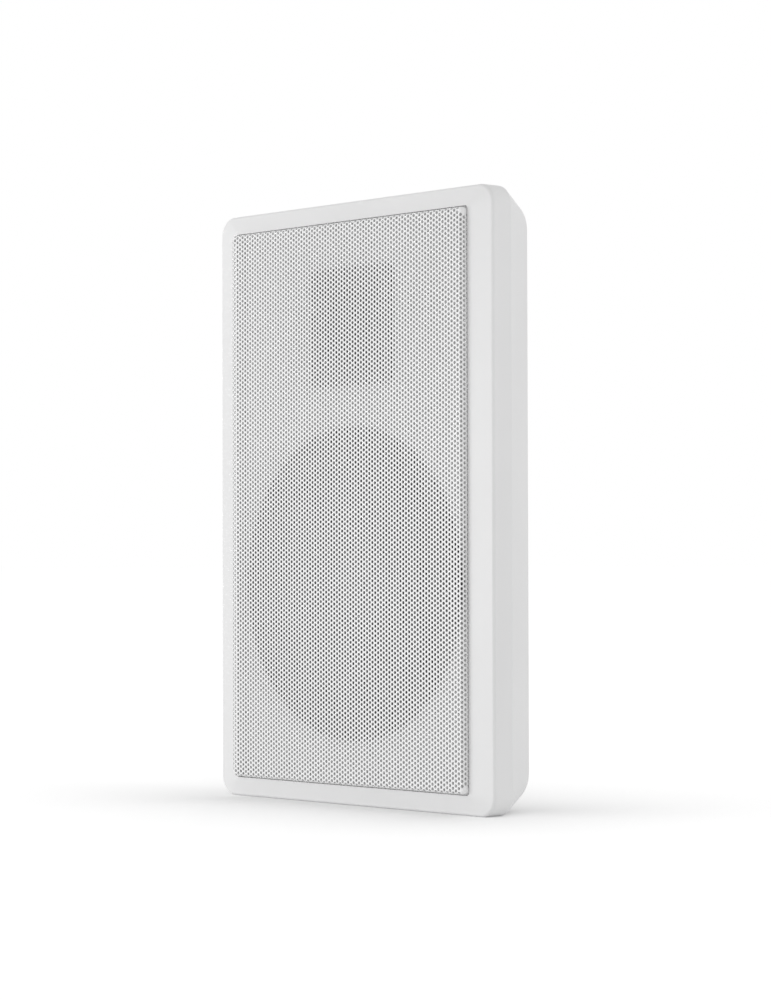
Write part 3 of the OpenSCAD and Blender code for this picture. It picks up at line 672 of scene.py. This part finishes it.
def add_corner(faces, sheet, side, first, inset, flip):
    """Rounded corner of one face of the sheet. Returns the points along its edge."""
    rings, normals = corner_rings(faces, sheet, np.array(side), first, inset)
    mirrored = side[0] * side[1] < 0
    order = QUAD if flip == mirrored else QUAD[:, ::-1]
    triangles = patches(rings)[:, order].reshape(-1, 3)
    normals = patches(-normals if flip else normals)[:, order].reshape(-1, 3, 3)
    a, b, c = triangles.T
    whole = (a != b) & (b != c) & (a != c)
    faces.add_triangles(triangles[whole], normals[whole])
    return rings[-1], mirrored


def add_rim(faces, outer, inner, flip):
    """Narrow face along the sheet's own edge, between its outer and inner faces."""
    index = np.stack([outer[:-1], outer[1:], inner[1:], inner[:-1]], -1)
    add_quads(faces, index, np.tile([0.0, 1.0, 0.0], (len(index), 4, 1)), flip)


def add_straight_rim(faces, sheet, lines, firsts, flip):
    index = grid_index(sheet, lines)
    add_rim(faces, index + firsts[0], index + firsts[1], flip)


def add_face(faces, sheet, columns, inset, flip):
    """One face of the sheet. Returns its first point and the points of the holes' rims."""
    grid = np.meshgrid(*(np.arange(-last, last + 1) for last in sheet.last), indexing="ij")
    first = faces.add_points(sheet.place(sheet.where(np.stack(grid, -1)), inset)[0])
    holes, points = add_cells(faces, sheet, cell_centres(sheet, columns), first, inset, flip)
    add_plain(faces, sheet, plain_quads(sheet, columns), first, inset, flip)
    return first, holes, points


def add_edges(faces, sheet, columns, firsts):
    """Corners and rims that these columns reach. The firsts are the first points of both faces."""
    for way in sides_reached(sheet, columns):
        for up in (-1, 1):
            outer, inner = (add_corner(faces, sheet, (way, up), first, inset, flip)
                            for first, (inset, flip) in zip(firsts, LAYERS))
            add_rim(faces, outer[0], inner[0], outer[1])
        rows = range(-sheet.fold_line[1], sheet.fold_line[1] + 1)
        add_straight_rim(faces, sheet, [(way * sheet.last[0], row) for row in rows], firsts, way < 0)
    flat = [column for column in columns if abs(2 * column) < sheet.fold_line[0]]
    lines = range(2 * min(flat) - 1, 2 * max(flat) + 2)
    for up in (-1, 1):
        add_straight_rim(faces, sheet, [(line, up * sheet.last[1]) for line in lines], firsts, up > 0)


def sheet_part(sheet, name, columns):
    """The part of the sheet that these columns of cells make up."""
    faces = Faces()
    outer, inner = (add_face(faces, sheet, columns, inset, flip) for inset, flip in LAYERS)
    add_walls(faces, outer[1], inner[1], outer[2])
    add_edges(faces, sheet, columns, (outer[0], inner[0]))
    return faces.make(name)


def grille_sheet():
    """The fine sheet that stands for the coarse one of the CAD, in parts of whole columns."""
    sheet = Sheet(*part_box("grille"))
    last = sheet.last[0] // 2 - 1
    bounds = np.linspace(-last, last + 1, SHEET_PARTS + 1).round().astype(int)
    for k in range(SHEET_PARTS):
        piece = sheet_part(sheet, f"grille_sheet_{k + 1}", range(bounds[k], bounds[k + 1]))
        piece.data.materials.append(FINISHES["white_painted_steel"])
        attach(piece, "box")
        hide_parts("grille")


# Stage, light and camera

def seen_directly(tree):
    """A value that is 1 for camera, mirror and glass rays and 0 for light that falls on things."""
    path = tree.nodes.new("ShaderNodeLightPath")
    total = path.outputs["Is Camera Ray"]
    for name in ("Is Glossy Ray", "Is Transmission Ray"):
        more = tree.nodes.new("ShaderNodeMath")
        more.operation = "MAXIMUM"
        tree.links.new(total, more.inputs[0])
        tree.links.new(path.outputs[name], more.inputs[1])
        total = more.outputs[0]
    return total


def make_world():
    world = bpy.data.worlds.new("studio")
    bpy.context.scene.world = world
    world.use_nodes = True
    tree = world.node_tree
    light = tree.nodes["Background"]
    light.inputs["Color"].default_value = (1, 1, 1, 1)
    light.inputs["Strength"].default_value = SKY
    shown = tree.nodes.new("ShaderNodeBackground")
    shown.inputs["Color"].default_value = (1, 1, 1, 1)
    mix = tree.nodes.new("ShaderNodeMixShader")
    tree.links.new(seen_directly(tree), mix.inputs[0])
    tree.links.new(light.outputs[0], mix.inputs[1])
    tree.links.new(shown.outputs[0], mix.inputs[2])
    tree.links.new(mix.outputs[0], tree.nodes["World Output"].inputs[0])


def floor_lift(n):
    """How much what is seen of the floor is lifted, by the distance from the object's foot: the lift
    is smaller near the foot, a painted shadow.
    """
    half = (cad_high - cad_low) / 2
    foot = (half.x - PAINTED_SHADOW_INSET, half.y, half.z)
    place = n.calculate_vector("SUBTRACT", n.place, (cad_low + cad_high) / 2)
    place = n.calculate_vector("ABSOLUTE", place)
    place = n.calculate_vector("SUBTRACT", place, foot)
    place = n.calculate_vector("MAXIMUM", place, (0, 0, 0))
    away = n.calculate("DIVIDE", n.calculate_vector("LENGTH", place), -PAINTED_SHADOW_REACH)
    # Painted shadow: the lift is lowered near the foot and fades back with distance
    dark = n.calculate("MULTIPLY", n.calculate("EXPONENT", away), -PAINTED_SHADOW_DARK)
    return n.calculate("ADD", dark, FLOOR_LIFT)


def floor_white():
    """Matt white that is lifted where it is seen, but not in the light that it throws back."""
    n = Nodes("floor")
    n.set(Base_Color=(FLOOR_WHITE,) * 3, Roughness=0.9, Specular_IOR_Level=0.0)
    lift = n.calculate("MULTIPLY", seen_directly(n.tree), floor_lift(n))
    glow = n.add("ShaderNodeEmission", {"Strength": lift})
    total = n.add("ShaderNodeAddShader", {0: n.shader.outputs[0], 1: glow.outputs[0]})
    n.tree.links.new(total.outputs[0], n.tree.nodes["Material Output"].inputs[0])
    return n.material


def make_floor():
    """White floor that keeps the object's shadow, with a painted shadow round its foot."""
    corners = [(x * FLOOR_HALF, y * FLOOR_HALF, cad_low.z) for x, y in quad(-1, -1, 1, 1)]
    mesh = bpy.data.meshes.new("floor")
    mesh.from_pydata(corners, [], [(0, 1, 2, 3)])
    mesh.materials.append(floor_white())
    floor = bpy.data.objects.new("floor", mesh)
    bpy.context.collection.objects.link(floor)


def soft_light(name, place, width, height, power):
    """A soft box that looks at the middle of the object."""
    data = bpy.data.lights.new(name, "AREA")
    data.shape = "RECTANGLE"
    data.size = width
    data.size_y = height
    data.energy = power
    light = bpy.data.objects.new(name, data)
    bpy.context.collection.objects.link(light)
    aim = (cad_low + cad_high) / 2
    light.location = place
    light.rotation_mode = "QUATERNION"
    light.rotation_quaternion = (aim - light.location).to_track_quat("-Z", "Y")


def make_camera():
    data = bpy.data.cameras.new("camera")
    data.sensor_fit = "AUTO"
    data.sensor_width = SENSOR
    data.lens = FOCAL_PIXELS * SENSOR / PHOTO_LONG_SIDE
    data.clip_start = 0.05
    camera = bpy.data.objects.new("camera", data)
    bpy.context.collection.objects.link(camera)
    camera.matrix_world = (
        Matrix.Translation(CAMERA_AT)
        @ Matrix.Rotation(CAMERA_TURN, 4, "Z")
        @ Matrix.Rotation(math.pi / 2 + CAMERA_TILT, 4, "X")
        @ Matrix.Rotation(CAMERA_ROLL, 4, "Z")
    )
    bpy.context.scene.camera = camera


dress_nodes()
grille_sheet()
make_world()
make_floor()
soft_light("key", **KEY)
soft_light("side_fill", **SIDE_FILL)
make_camera()
bpy.context.scene.view_settings.view_transform = "Standard"
